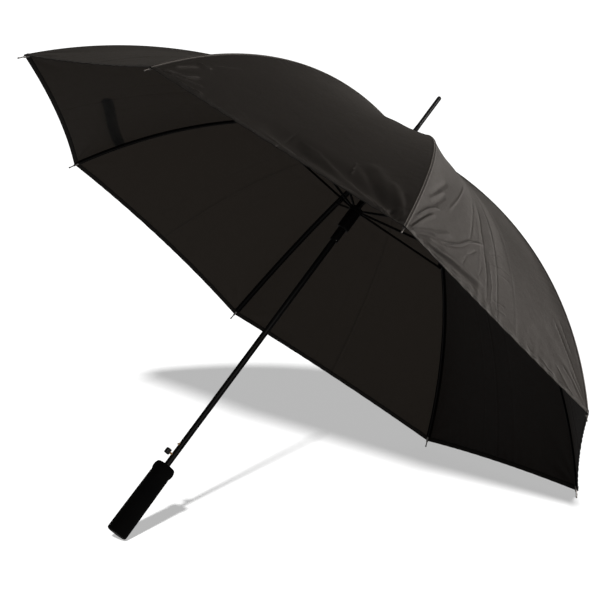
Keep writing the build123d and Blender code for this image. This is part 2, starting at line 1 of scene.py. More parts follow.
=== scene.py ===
"""An open black umbrella with eight ribs.

The shaft lies on Z, with the end of the grip at z = 0 and the crown at the top. Panel p
(counted from 0) spans rib p + 1 to rib p + 2, anticlockwise seen from +Z. The umbrella rests
on the end of its grip and two rib tips, so the floor is a slanted plane on its +Y side.
"""
import bpy
import json
import math
import numpy as np
from mathutils import Matrix, Vector


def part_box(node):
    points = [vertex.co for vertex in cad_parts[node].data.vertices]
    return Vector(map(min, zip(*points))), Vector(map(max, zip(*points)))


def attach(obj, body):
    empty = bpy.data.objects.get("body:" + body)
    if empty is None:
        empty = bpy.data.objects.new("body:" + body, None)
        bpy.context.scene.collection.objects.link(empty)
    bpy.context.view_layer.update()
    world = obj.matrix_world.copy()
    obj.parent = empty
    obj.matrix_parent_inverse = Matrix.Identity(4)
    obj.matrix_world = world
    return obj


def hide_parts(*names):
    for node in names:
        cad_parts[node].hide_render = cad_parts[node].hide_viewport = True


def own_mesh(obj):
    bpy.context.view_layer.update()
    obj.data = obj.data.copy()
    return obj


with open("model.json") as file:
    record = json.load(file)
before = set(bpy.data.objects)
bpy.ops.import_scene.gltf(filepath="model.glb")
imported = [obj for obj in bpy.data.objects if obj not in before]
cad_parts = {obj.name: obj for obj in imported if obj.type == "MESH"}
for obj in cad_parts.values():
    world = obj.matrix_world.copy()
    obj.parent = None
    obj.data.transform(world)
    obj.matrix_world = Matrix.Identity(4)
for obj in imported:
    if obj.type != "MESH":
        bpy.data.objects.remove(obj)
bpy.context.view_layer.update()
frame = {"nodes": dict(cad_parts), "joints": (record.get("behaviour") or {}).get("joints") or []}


# ------------------------------------------------------------------ frame data
JOINTS = {joint["name"]: joint for joint in frame["joints"]}
N_RIBS = 8
HALF_SECTOR = math.radians(180 / N_RIBS)
SIN_HALF = math.sin(HALF_SECTOR)
COS_HALF = math.cos(HALF_SECTOR)


def rib_azimuth(rib):
    axis = JOINTS[f"rib_{rib}_fold"]["axis"]
    return math.atan2(-axis[0], axis[1])


def joint_rz(name):
    """Radius and height of a joint."""
    place = JOINTS[name]["pos_m"]
    return np.array([math.hypot(*place[:2]), place[2]])


AZIMUTHS = [rib_azimuth(rib) for rib in range(1, N_RIBS + 1)]
RIB_ROOT = joint_rz("rib_1_fold")
ROD_JOINT = joint_rz("rod_1_flex")
CORNER = np.array([0.636, 0.571])       # canopy corner on the rod (r, z)
SLOPE = math.radians(23.3)              # rib slope at the rod joint
LIFT = 0.0035                           # middle of the cloth above the rib axis
HOLE_RADIUS = 0.0136                    # hole round the crown
CLOTH_T = 0.00045                       # cloth thickness
HEM_WIDTH = 0.0085
HEM_STITCH = 0.0065                     # stitch row from the rim
SEAM_STITCH = 0.0020                    # stitch rows each side of a seam's middle
STITCH_PITCH = 0.0028
MIDDLE_SHIFT = 0.0452                   # inner/outer split runs square to the rib
HEM_DEPTHS = [0.0065, 0.0065, 0.0065, 0.0020, 0.0065, 0.0065, 0.0125, 0.0105]   # rim's hollow
Z_AXIS = np.array([0.0, 0.0, 1.0])


def radial(azimuth):
    return np.array([math.cos(azimuth), math.sin(azimuth), 0.0])


def tangent(azimuth):
    return np.array([-math.sin(azimuth), math.cos(azimuth), 0.0])


def arc(start, end):
    """Centre and radius of the arc that has the slope SLOPE at its start."""
    inward = np.array([-math.sin(SLOPE), -math.cos(SLOPE)])
    chord = end - start
    radius = (chord @ chord) / (2 * (chord @ inward))
    return start + radius * inward, radius


def arc_points(centre, radius, start, end, count):
    """(r, z) points lifted off an arc by LIFT."""
    first, last = (math.atan2(*(point - centre)[::-1]) for point in (start, end))
    angles = np.linspace(first, last, count)
    return centre + (radius + LIFT) * np.stack([np.cos(angles), np.sin(angles)], 1)


INNER_CENTRE, INNER_RADIUS = arc(ROD_JOINT, RIB_ROOT)
OUTER_CENTRE, OUTER_RADIUS = arc(ROD_JOINT, CORNER)


def seam_profile():
    """(r, z) points of the cloth over a rib, from the crown hole to the corner."""
    points = np.vstack([
        arc_points(INNER_CENTRE, INNER_RADIUS, RIB_ROOT, ROD_JOINT, 160),
        arc_points(OUTER_CENTRE, OUTER_RADIUS, ROD_JOINT, CORNER, 200)[1:],
    ])
    hole_z = np.interp(HOLE_RADIUS, points[:, 0], points[:, 1])
    return np.vstack([[HOLE_RADIUS, hole_z], points[points[:, 0] >= HOLE_RADIUS]])


def smoothed(values):
    """Running mean with a Hann window; the ends are mirrored."""
    window = np.hanning(25)
    window /= window.sum()
    before = 2 * values[0] - values[12:0:-1]
    after = 2 * values[-1] - values[-2:-14:-1]
    return np.convolve(np.concatenate([before, values, after]), window, "valid")


# Flat pattern of a panel: y is arc length along its middle, x is across it.
PROFILE = seam_profile()
MIDDLE_R = PROFILE[:, 0] * COS_HALF
MIDDLE_Z = PROFILE[:, 1]
PATTERN_Y = np.concatenate([[0], np.cumsum(np.hypot(np.diff(MIDDLE_R), np.diff(MIDDLE_Z)))])
_slope_r = np.gradient(smoothed(MIDDLE_R), PATTERN_Y)
_slope_z = np.gradient(smoothed(MIDDLE_Z), PATTERN_Y)
_slope_length = np.hypot(_slope_r, _slope_z)
TANGENT_R = _slope_r / _slope_length
TANGENT_Z = _slope_z / _slope_length
Y_END = float(PATTERN_Y[-1])
Y_JOINT = float(PATTERN_Y[np.argmin(np.hypot(*(PROFILE - ROD_JOINT - [0, LIFT]).T))])
CORNER_X = float(PROFILE[-1, 0] * SIN_HALF)


def seam_x(y):
    return np.interp(y, PATTERN_Y, PROFILE[:, 0]) * SIN_HALF


def hem_y(panel, x):
    across = np.clip(np.abs(x) / CORNER_X, 0, 1)
    return Y_END - HEM_DEPTHS[panel] * (1 - across ** 2)


def rib_beside(panel, side):
    """Rib next to a panel; side -1 is its first rib, +1 the following one."""
    return panel + 1 if side < 0 else (panel + 1) % N_RIBS + 1


# ------------------------------------------------------------------ cloth shape
# per panel: 12 phases, 12 amounts, 3 shifts of the fold lines
rng = np.random.RandomState(7)
DRAWS = [
    (rng.uniform(0, 6.28, 12), rng.uniform(0.7, 1.3, 12), rng.uniform(-0.004, 0.004, 3))
    for _ in range(N_RIBS)
]
DETAILED = (1, 2)                                  # panels with most single wrinkles
SLACK = [0.0150, 0.0145, 0.0145, 0.0125, 0.0110, 0.0105, 0.0105, 0.0110]     # by panel
CORNER_GAIN = {1: 0.8, 2: 1.0, 3: 1.1, 4: 1.0, 5: 0.9, 6: 0.8, 7: 0.8, 8: 0.9}     # by rib
FOLD_GAIN = {1: 0.25, 2: 0.35}                     # by panel, otherwise 1
# x at the hem, height, half width
FOLD_LINES = ((0.0, -0.0012, 0.0022), (0.052, 0.0005, 0.0028), (-0.052, 0.00045, 0.0028))
PULL_WAVES = (2.0, 3.3, 5.1)                       # half waves from middle to seam
FAN_WAVES = ((7.0, 1.0), (12.0, 0.7), (19.0, 0.4))     # waves per radian, share
# Single wrinkles and creases by panel:
# height (mm), half width (mm), then the line they follow on the flat pattern (x, y in m).
WRINKLES = {
    0: [
        (-0.6, 2.2, [(0.0496, 0.6364), (0.0866, 0.6175), (0.1811, 0.616)]),
        (0.8, 6.0, [(-0.0416, 0.6097), (0.0005, 0.5546), (0.2039, 0.5861)]),
    ],
    1: [
        (-9.0, 7.0, [(0.2013, 0.6474), (0.2206, 0.6726), (0.2372, 0.6789)]),
        (2.6, 2.6, [(0.1554, 0.6427), (0.1858, 0.6663), (0.2144, 0.6757)]),
        (-1.2, 2.6, [(0.1191, 0.6317), (0.1449, 0.6474), (0.174, 0.6647), (0.2024, 0.6742)]),
        (1.5, 2.4, [(0.102, 0.5845), (0.1083, 0.6081), (0.1149, 0.6254)]),
        (4.6, 9.0, [(0.0149, 0.627), (0.0773, 0.6348), (0.1268, 0.6474), (0.1847, 0.6726),
                    (0.2155, 0.6757)]),
        (3.4, 13.0, [(0.1161, 0.5609), (0.1589, 0.5971), (0.1901, 0.627), (0.2107, 0.6396)]),
        (-2.2, 7.0, [(0.1106, 0.5861), (0.1463, 0.616), (0.1848, 0.6443), (0.2093, 0.6631)]),
        (2.2, 5.0, [(-0.0414, 0.6537), (0.019, 0.6647), (0.0603, 0.6647), (0.1018, 0.6663),
                    (0.1356, 0.6694)]),
        (-2.0, 5.0, [(0.0039, 0.6458), (0.0543, 0.66), (0.103, 0.6663), (0.1426, 0.6694)]),
        (1.4, 5.0, [(0.0147, 0.6191), (0.0498, 0.6207), (0.0862, 0.6348), (0.1077, 0.638)]),
        (3.2, 3.2, [(-0.2307, 0.671), (-0.2121, 0.6553), (-0.1956, 0.6474), (-0.1792, 0.6223)]),
        (2.8, 3.0, [(-0.2238, 0.6474), (-0.2117, 0.6254), (-0.1983, 0.6018)]),
        (3.0, 3.2, [(-0.208, 0.594), (-0.1946, 0.5908), (-0.1825, 0.5845)]),
        (3.2, 3.2, [(-0.2199, 0.6694), (-0.1868, 0.6537), (-0.161, 0.6427)]),
        (3.0, 3.2, [(-0.2064, 0.671), (-0.1743, 0.6663), (-0.1492, 0.66)]),
        (-1.0, 3.5, [(-0.2197, 0.6584), (-0.1885, 0.6458), (-0.1689, 0.6317)]),
        (1.0, 3.0, [(-0.1953, 0.5814), (-0.1773, 0.5546), (-0.1546, 0.5216)]),
        (2.6, 8.0, [(0.1665, 0.5829), (0.1898, 0.6065), (0.2125, 0.6333), (0.2311, 0.6631)]),
        (-2.0, 6.0, [(0.1943, 0.594), (0.2126, 0.616), (0.2272, 0.6474)]),
    ],
    2: [
        (3.0, 7.0, [(-0.2138, 0.6679), (-0.1595, 0.6537), (-0.1215, 0.6411), (-0.0816, 0.6333),
                    (-0.0314, 0.627)]),
        (-1.6, 6.0, [(-0.1945, 0.6694), (-0.1443, 0.6584), (-0.0943, 0.649), (-0.041, 0.6443)]),
        (1.3, 2.0, [(-0.1662, 0.6348), (-0.1373, 0.6144), (-0.1064, 0.5861), (-0.0795, 0.5515),
                    (-0.0611, 0.5358), (-0.0238, 0.5043)]),
        (-0.9, 2.2, [(-0.1609, 0.6364), (-0.1311, 0.616), (-0.1013, 0.5877), (-0.0735, 0.5515)]),
        (0.9, 2.0, [(-0.0528, 0.3486), (-0.0739, 0.399), (-0.1002, 0.4571), (-0.1204, 0.498),
                    (-0.14, 0.5389)]),
        (-0.9, 1.8, [(-0.0376, 0.377), (-0.0572, 0.4571), (-0.0708, 0.5169), (-0.0797, 0.5531)]),
        (-1.1, 2.0, [(-0.0277, 0.3707), (-0.0301, 0.421), (-0.0361, 0.4776), (-0.0358, 0.52),
                     (-0.0342, 0.5452), (-0.0307, 0.5798), (-0.0299, 0.616), (-0.03, 0.6506),
                     (-0.0167, 0.6647)]),
        (0.8, 1.8, [(-0.0249, 0.5358), (-0.021, 0.5704), (-0.0166, 0.6034), (-0.0196, 0.6411),
                    (-0.0132, 0.6647)]),
        (1.8, 3.2, [(-0.2422, 0.671), (-0.2328, 0.6474), (-0.2164, 0.6223), (-0.1971, 0.5924),
                    (-0.1764, 0.5672), (-0.1566, 0.5515)]),
        (1.8, 3.5, [(-0.2407, 0.6789), (-0.2314, 0.6694), (-0.2118, 0.6348), (-0.1945, 0.6081),
                    (-0.1721, 0.5798)]),
        (-1.4, 3.0, [(-0.2442, 0.6789), (-0.225, 0.6521), (-0.2039, 0.616), (-0.1857, 0.5892)]),
        (-1.1, 6.0, [(-0.1914, 0.5546), (-0.1631, 0.5028), (-0.1278, 0.4399)]),
        (1.0, 4.5, [(-0.1972, 0.5688), (-0.1702, 0.5263), (-0.1441, 0.4855)]),
        (-1.0, 5.0, [(-0.1849, 0.5688), (-0.1648, 0.5358), (-0.1425, 0.498)]),
        (1.5, 5.0, [(-0.238, 0.6726), (-0.2039, 0.649), (-0.1657, 0.6207), (-0.1247, 0.5829)]),
        (-1.0, 4.0, [(-0.2252, 0.6773), (-0.1919, 0.6458), (-0.1639, 0.6285)]),
        (-0.7, 1.8, [(-0.0863, 0.594), (-0.0959, 0.6223), (-0.0998, 0.6474)]),
        (-0.7, 1.8, [(-0.0872, 0.5924), (-0.074, 0.5767), (-0.0588, 0.5546)]),
        (-0.7, 1.8, [(-0.0431, 0.5798), (-0.0537, 0.6144)]),
        (-0.7, 2.2, [(-0.0206, 0.5232), (-0.0005, 0.5059), (0.0187, 0.4917)]),
        (0.9, 3.0, [(-0.0174, 0.5468), (0.013, 0.5279), (0.0425, 0.52)]),
        (-0.9, 3.0, [(-0.0025, 0.5546), (0.0193, 0.5452), (0.039, 0.5421)]),
        (-0.9, 3.0, [(-0.015, 0.6348), (0.006, 0.6254), (0.0224, 0.6207)]),
        (0.9, 3.0, [(-0.0085, 0.6474), (0.0073, 0.6427), (0.0229, 0.6396)]),
        (-1.2, 2.4, [(0.1502, 0.5232), (0.1659, 0.5531), (0.1822, 0.5829), (0.2043, 0.6175),
                     (0.2284, 0.6521)]),
        (-0.9, 2.2, [(0.1674, 0.5153), (0.1798, 0.5484), (0.1972, 0.5845)]),
        (-1.4, 2.8, [(0.1696, 0.6238), (0.1965, 0.6411), (0.2215, 0.6663)]),
        (1.5, 3.0, [(0.1531, 0.6364), (0.1841, 0.6631), (0.2167, 0.6757)]),
        (-1.2, 2.4, [(0.1894, 0.6191), (0.2129, 0.6443), (0.2311, 0.6631)]),
        (1.2, 3.0, [(0.1086, 0.6553), (0.1336, 0.6631), (0.1585, 0.6679)]),
        (-0.8, 2.4, [(0.0779, 0.6553), (0.0876, 0.6616), (0.0979, 0.6616)]),
    ],
}


def smooth_step(value):
    value = np.clip(value, 0, 1)
    return value * value * (3 - 2 * value)


def along_line(x, y, line):
    """Distance to a polyline and the position along it, 0 to 1."""
    points = np.array(line)
    lengths = np.hypot(*np.diff(points, axis=0).T)
    nearest = np.full(x.shape, 9.0)
    position = np.zeros(x.shape)
    run = 0.0
    for (x0, y0), (x1, y1), length in zip(points[:-1], points[1:], lengths):
        share = ((x - x0) * (x1 - x0) + (y - y0) * (y1 - y0)) / (length * length)
        share = np.clip(share, 0, 1)
        distance = np.hypot(x - x0 - share * (x1 - x0), y - y0 - share * (y1 - y0))
        near = distance < nearest
        nearest = np.where(near, distance, nearest)
        position = np.where(near, (run + share * length) / lengths.sum(), position)
        run += length
    return nearest, position


def corner_fan(panel, side, x, y):
    """Wrinkles that fan out of one corner of a panel."""
    phase, amount, _ = DRAWS[panel]
    inward = (side * CORNER_X - x) * side
    upward = Y_END - y
    reach = np.hypot(inward, upward)
    angle = np.arctan2(upward, np.maximum(inward, 1e-6))     # 0 along the hem
    fan = np.zeros_like(x)
    for i, (waves, share) in enumerate(FAN_WAVES):
        wobble = 0.6 * np.sin(reach * 30 + phase[3 + i])
        fan += share * amount[3 + i] * np.sin(waves * angle + phase[4 + i] + side + wobble)
    gain = CORNER_GAIN[rib_beside(panel, side)] * (0.55 if panel in DETAILED else 1.0)
    envelope = smooth_step((reach - 0.012) / 0.045) * np.exp(-(reach / 0.105) ** 1.4)
    return 0.00105 * gain * fan * envelope


def single_wrinkles(panel, x, y):
    """Sum of the panel's single wrinkles, fading at both ends of their lines."""
    total = np.zeros_like(x)
    for height, half_width, line in WRINKLES.get(panel, ()):
        distance, position = along_line(x, y, line)
        taper = smooth_step(np.minimum(position, 1 - position) / 0.22 + 0.10)
        # broad folds are round, narrow creases have a sharp crest
        if half_width > 3.3:
            shape = np.exp(-(distance / (half_width * 0.001)) ** 2)
        else:
            shape = np.exp(-distance / (half_width * 0.00085))
        total += 0.8 * height * 0.001 * shape * taper
    return total


def displacement(panel, x, y):
    """Height of the panel's cloth off its flat-tensioned sheet."""
    phase, amount, fold_shift = DRAWS[panel]
    half_width = np.maximum(seam_x(y), 1e-4)
    across = np.clip(x / half_width, -1.0, 1.0)       # -1 and 1 at the seams
    down = np.clip(y / Y_END, 0, 1)                   # 0 at the crown, 1 at the corners
    swell = np.sin(np.pi * down)
    edge = 1 - across ** 2                            # nothing moves at the seams
    to_hem = np.maximum(hem_y(panel, x) - y, 0)
    to_seam = (1 - np.abs(across)) * half_width
    free = smooth_step((to_seam - 0.0045) / 0.009)    # small shapes stay clear of the seam
    # slack between the ribs
    sag = 0.80 * np.sin(np.pi * down ** 0.80) ** 0.85 + 0.42 * smooth_step((down - 0.45) / 0.5)
    height = -SLACK[panel] * edge ** 0.9 * sag
    # the sharp bend of cloth near each rib
    height += 0.0009 * np.exp(-to_seam / 0.012) * free * swell
    # fold lines left from packing, along the middle and beside it
    fade = np.clip((down - 0.12) / 0.2, 0, 1) * np.clip(to_hem / 0.012, 0, 1)
    fade = fade * amount[0] * FOLD_GAIN.get(panel, 1.0)
    for (line_x, rise, width), shift in zip(FOLD_LINES, fold_shift):
        offset = x - (line_x + shift) * (0.45 + 0.55 * down)
        height += rise * np.exp(-(offset / width) ** 2) * fade
    # long, soft pulls from the crown towards the hem
    for i, waves in enumerate(PULL_WAVES):
        wave = np.sin(waves * np.pi * across + phase[i] + 2.2 * down)
        height += edge * 0.0008 / (i + 1) * amount[i] * wave * swell ** 1.3
    for side in (-1, 1):
        height += corner_fan(panel, side, x, y) * free * smooth_step(to_hem / 0.006)
    # the taut hem of panel 1 stands above the slack cloth beside it
    if panel == 1:
        zone = smooth_step((across + 0.40) / 0.6) * (1 - smooth_step((across - 0.82) / 0.15))
        hollow = np.exp(-((to_hem - 0.034) / 0.020) ** 2) * smooth_step(to_hem / 0.012)
        height -= 0.0085 * zone * hollow
    height += single_wrinkles(panel, x, y) * free * smooth_step((to_hem + 0.002) / 0.013)
    # puckers along the hem and the seams, short and shallow
    pucker = np.sin(x * 210 + phase[8] + 2 * np.sin(x * 37 + phase[9])) * amount[8]
    height += 0.00042 * edge ** 0.5 * np.exp(-to_hem / 0.022) * pucker
    pucker = np.sin(y * 300 + phase[10] + 2 * np.sin(y * 41 + phase[11])) * amount[9]
    height += 0.00030 * np.exp(-to_seam / 0.013) * free * pucker * swell ** 0.5
    # broad unevenness
    height += 0.0012 * edge * np.sin(x * 17 + phase[6]) * np.sin(y * 13 + phase[7]) * swell
    # flat at the crown hole
    return height * np.clip((y - 0.006) / 0.05, 0, 1)


def cloth_point(panel, x, y):
    """Point of a panel's cloth at (x, y) of the flat pattern; x grows towards rib p + 2."""
    azimuth = AZIMUTHS[panel] + HALF_SECTOR
    inside = np.clip(y, 0, Y_END)
    slope_r = np.interp(inside, PATTERN_Y, TANGENT_R)
    slope_z = np.interp(inside, PATTERN_Y, TANGENT_Z)
    over = y - inside
    height = displacement(panel, x, y)
    r = np.interp(inside, PATTERN_Y, MIDDLE_R) + over * slope_r - slope_z * height
    z = np.interp(inside, PATTERN_Y, MIDDLE_Z) + over * slope_z + slope_r * height
    return r[..., None] * radial(azimuth) + x[..., None] * tangent(azimuth) + z[..., None] * Z_AXIS


def cloth_normal(panel, x, y):
    """Unit normal on the outside of the canopy."""
    step = 0.0008
    along_x = cloth_point(panel, x + step, y) - cloth_point(panel, x - step, y)
    along_y = cloth_point(panel, x, y + step) - cloth_point(panel, x, y - step)
    normal = np.cross(along_x, along_y)
    normal /= np.linalg.norm(normal, axis=-1, keepdims=True)
    outside = radial(AZIMUTHS[panel] + HALF_SECTOR) * 0.4 + Z_AXIS
    return normal * np.sign(normal @ outside)[..., None]


# ------------------------------------------------------------------ mesh helpers
def signed_volume(vertices, faces):
    points = np.asarray(vertices, float)
    points = points - points.mean(0)
    triangles = np.array([(f[0], f[i], f[i + 1]) for f in faces for i in range(1, len(f) - 1)])
    first, second, third = (points[triangles[:, i]] for i in range(3))
    return float(np.einsum("ij,ij->i", first, np.cross(second, third)).sum() / 6)


def sheet_faces(rows, columns):
    """Faces of a closed sheet: two layers of a grid, face by face in turn, then the rim."""
    layer = rows * columns
    faces = []
    for i in range(rows - 1):
        for j in range(columns - 1):
            start = i * columns + j
            face = (start, start + 1, start + columns + 1, start + columns)
            faces.append(face)
            faces.append(tuple(v + layer for v in face[::-1]))
    index = np.arange(layer).reshape(rows, columns)
    rim = np.concatenate([index[0], index[1:, -1], index[-1, -2::-1], index[-2:0:-1, 0]]).tolist()
    for this, after in zip(rim, rim[1:] + rim[:1]):
        faces.append((after, this, this + layer, after + layer))
    return faces


def two_layers(top, bottom):
    return np.vstack([top.reshape(-1, top.shape[-1]), bottom.reshape(-1, bottom.shape[-1])])


def new_mesh(name, vertices, faces, materials, face_materials=None, uvs=None, normals=None,
             n_smooth=None):
    """Closed smooth mesh turned outwards.

    With vertex normals given, the faces from n_smooth on, all quads, keep their own normals.
    """
    if signed_volume(vertices, faces) < 0:
        faces = [tuple(face[::-1]) for face in faces]
    mesh = bpy.data.meshes.new(name)
    mesh.from_pydata([tuple(map(float, v)) for v in vertices], [], faces)
    for material in materials:
        mesh.materials.append(material)
    if face_materials is not None:
        mesh.polygons.foreach_set("material_index", np.asarray(face_materials, np.int32))
    mesh.polygons.foreach_set("use_smooth", np.full(len(faces), True))
    loop_vertices = np.zeros(len(mesh.loops), np.int32)
    mesh.loops.foreach_get("vertex_index", loop_vertices)
    if uvs is not None:
        layer = mesh.uv_layers.new(name="flat")
        layer.data.foreach_set("uv", np.asarray(uvs, np.float32)[loop_vertices].ravel())
    mesh.update()
    if normals is not None:
        loop_normals = normals[loop_vertices]
        face_normals = np.zeros(len(faces) * 3)
        mesh.polygons.foreach_get("normal", face_normals)
        flat_normals = face_normals.reshape(-1, 3)[n_smooth:]
        loop_normals[n_smooth * 4:] = np.repeat(flat_normals, 4, axis=0)
        mesh.normals_split_custom_set([tuple(map(float, n)) for n in loop_normals])
    piece = bpy.data.objects.new(name, mesh)
    bpy.context.scene.collection.objects.link(piece)
    return piece


# ------------------------------------------------------------------ shader helpers
class Graph:
    """A cleared node tree with its output node."""

    def __init__(self, tree, output_kind):
        self.nodes = tree.nodes
        self.links = tree.links
        self.nodes.clear()
        self.output = self.add(output_kind)

    def feed(self, node, key, value):
        """Links a socket to an input, or sets the input's value."""
        if isinstance(value, bpy.types.NodeSocket):
            self.links.new(value, node.inputs[key])
        else:
            node.inputs[key].default_value = value

    def add(self, kind, inputs=None, **settings):
        node = self.nodes.new("ShaderNode" + kind)
        for key, value in settings.items():
            setattr(node, key, value)
        for key, value in (inputs or {}).items():
            self.feed(node, key, value)
        return node

    def calc(self, operation, *values, clamp=False):
        inputs = dict(enumerate(values))
        return self.add("Math", inputs, operation=operation, use_clamp=clamp).outputs[0]

    def scale_add(self, value, factor, offset):
        return self.calc("ADD", self.calc("MULTIPLY", value, factor), offset)

    def object_coords(self):
        return self.add("TexCoord").outputs["Object"]

    def stretched(self, vector, scale):
        return self.add("Mapping", {"Scale": scale, 0: vector}).outputs[0]

    def ramp(self, value, *stops):
        """Grey ramp between two (position, level) stops."""
        node = self.add("ValToRGB", {0: value})
        for element, (position, level) in zip(node.color_ramp.elements, stops):
            element.position = position
            element.color = (level, level, level, 1)
        return node.outputs[0]

    def noise(self, vector, scale, detail=4, rough=0.55, distortion=0.0):
        return self.add("TexNoise", {"Scale": scale, "Detail": detail, "Roughness": rough,
                                     "Distortion": distortion, "Vector": vector}).outputs["Fac"]

    def bump(self, height, strength, distance, normal=None):
        inputs = {"Strength": strength, "Distance": distance, "Height": height}
        if normal is not None:
            inputs["Normal"] = normal
        return self.add("Bump", inputs).outputs[0]

    def mix_colors(self, factor, first, second):
        first, second = (color if isinstance(color, bpy.types.NodeSocket) else (*color, 1)
                         for color in (first, second))
        node = self.add("Mix", {0: factor, 6: first, 7: second}, data_type="RGBA")
        return node.outputs[2]

    def mix_shaders(self, factor, first, second):
        return self.add("MixShader", {0: factor, 1: first, 2: second}).outputs[0]


def material_graph(name):
    material = bpy.data.materials.new(name)
    material.use_nodes = True
    return material, Graph(material.node_tree, "OutputMaterial")


def principled(name, base, rough, spec, metallic=0.0):
    material, graph = material_graph(name)
    shader = graph.add("BsdfPrincipled", {
        "Base Color": (*base, 1), "Roughness": rough, "Metallic": metallic,
        "Specular IOR Level": spec})
    graph.feed(graph.output, 0, shader.outputs[0])
    return material, graph, shader


# ------------------------------------------------------------------ materials
YARN_PITCH = 0.00062


def stitches(rows, half_width, color, pitch=STITCH_PITCH):
    """Lock stitches along the UV's v at the given u offsets."""
    return {"rows": rows, "half_width": half_width, "color": color, "pitch": pitch}


def stitch_mask(graph, u, v, stitch):
    rows = None
    for row_u in stitch["rows"]:
        distance = graph.calc("ABSOLUTE", graph.calc("SUBTRACT", u, row_u))
        row = graph.calc("LESS_THAN", distance, stitch["half_width"])
        rows = row if rows is None else graph.calc("MAXIMUM", rows, row)
    phase = graph.calc("FRACT", graph.calc("DIVIDE", v, stitch["pitch"]))
    dash = graph.calc("LESS_THAN", phase, 0.72)
    return graph.calc("MULTIPLY", rows, dash)


def cloth_material(name, base, lighter, rough, spec, sheen, translucent=0.0, stitch=None):
    """Tight woven polyester. UV 'flat' is in metres, so the weave has its real size."""
    material, graph, shader = principled(name, base, rough, spec)
    uv = graph.add("UVMap", uv_map="flat").outputs[0]
    u, v, _ = graph.add("SeparateXYZ", {0: uv}).outputs
    coords = graph.object_coords()
    warp, weft = (graph.calc("SINE", graph.calc("MULTIPLY", axis, 2 * math.pi / YARN_PITCH))
                  for axis in (u, v))
    weave = graph.calc("MULTIPLY", warp, weft)
    # slubs: slightly thicker yarns, long in one direction
    slubs = [graph.noise(graph.stretched(uv, scale), scale=1.0, detail=2)
             for scale in ((900, 14, 1), (14, 900, 1))]
    slub = graph.calc("ADD", *slubs)
    # crumple left by folding, from broad to fine
    crumple = graph.noise(coords, scale=26, detail=5, rough=0.5, distortion=0.4)
    fine = graph.noise(coords, scale=130, detail=3, rough=0.5, distortion=0.2)
    lightness = graph.calc("ADD", graph.calc("MULTIPLY", slub, 0.32),
                           graph.calc("MULTIPLY", crumple, 0.45), clamp=True)
    color = graph.mix_colors(lightness, base, lighter)
    graph.feed(shader, "Roughness", graph.scale_add(fine, factor=0.16, offset=rough - 0.08))
    graph.feed(shader, "Sheen Weight", sheen)
    graph.feed(shader, "Sheen Roughness", 0.45)
    graph.feed(shader, "Sheen Tint", (0.55, 0.52, 0.48, 1))
    normal = graph.bump(crumple, strength=0.30, distance=0.0032)
    normal = graph.bump(fine, strength=0.22, distance=0.0006, normal=normal)
    normal = graph.bump(slub, strength=0.15, distance=0.00012, normal=normal)
    normal = graph.bump(weave, strength=0.18, distance=0.00008, normal=normal)
    if stitch:
        mask = stitch_mask(graph, u, v, stitch)
        normal = graph.bump(mask, strength=0.8, distance=0.0004, normal=normal)
        color = graph.mix_colors(mask, color, stitch["color"])
    graph.feed(shader, "Base Color", color)
    graph.feed(shader, "Normal", normal)
    if translucent > 0:
        glow = graph.add("BsdfTranslucent", {0: (0.55, 0.505, 0.46, 1), "Normal": normal})
        mixed = graph.mix_shaders(translucent, shader.outputs[0], glow.outputs[0])
        graph.feed(graph.output, 0, mixed)
    return material


def moulded(name, base, rough, grain, grain_scale, spec, wear):
    """Grained plastic or enamel, lighter where its edges are worn."""
    material, graph, shader = principled(name, base, rough, spec)
    coords = graph.object_coords()
    grains = graph.noise(coords, scale=grain_scale, rough=0.6)
    broad = graph.noise(coords, scale=55)
    pointiness = graph.add("NewGeometry").outputs["Pointiness"]
    edges = graph.ramp(pointiness, (0.49, 0), (0.56, 1))
    worn = graph.calc("MULTIPLY", graph.calc("MULTIPLY", edges, broad), 0.55)
    graph.feed(shader, "Base Color", graph.mix_colors(worn, base, wear))
    graph.feed(shader, "Roughness", graph.scale_add(broad, factor=0.22, offset=rough - 0.1))
    graph.feed(shader, "Normal", graph.bump(grains, strength=grain, distance=0.0002))
    return material


def metal(name, base, rough, scratch, dark):
    """Metal with fine scratches along Z and darker patches."""
    material, graph, shader = principled(name, base, rough, spec=0.5, metallic=1.0)
    coords = graph.object_coords()
    lines = graph.noise(graph.stretched(coords, (3500, 3500, 60)), scale=1.0, detail=3, rough=0.6)
    patches = graph.ramp(graph.noise(coords, scale=90, rough=0.6), (0.42, 0), (0.75, 1))
    graph.feed(shader, "Base Color", graph.mix_colors(patches, base, dark))
    graph.feed(shader, "Roughness",
               graph.scale_add(lines, factor=scratch, offset=rough - scratch * 0.4))
    graph.feed(shader, "Normal", graph.bump(lines, strength=0.12, distance=0.00004))
    return material


def foam_material():
    """Matt foam with small cells and open pores."""
    material, graph, shader = principled("grip_foam", (0.0012, 0.0012, 0.0012), 0.92, spec=0.05)
    coords = graph.object_coords()
    cells = graph.add("TexVoronoi", {"Scale": 1500, "Vector": coords}).outputs["Distance"]
    pores = graph.ramp(graph.noise(coords, scale=900, detail=3, rough=0.6), (0.58, 1), (0.70, 0))
    soft = graph.noise(coords, scale=45, rough=0.5)
    color = graph.mix_colors(soft, (0.0009, 0.0009, 0.0009), (0.0024, 0.0023, 0.0023))
    graph.feed(shader, "Base Color", color)
    normal = graph.bump(soft, strength=0.25, distance=0.0012)
    normal = graph.bump(cells, strength=0.35, distance=0.00022, normal=normal)
    normal = graph.bump(pores, strength=0.45, distance=0.00018, normal=normal)
    graph.feed(shader, "Normal", normal)
    graph.feed(shader, "Sheen Weight", 0.01)
    graph.feed(shader, "Sheen Roughness", 0.5)
    return material


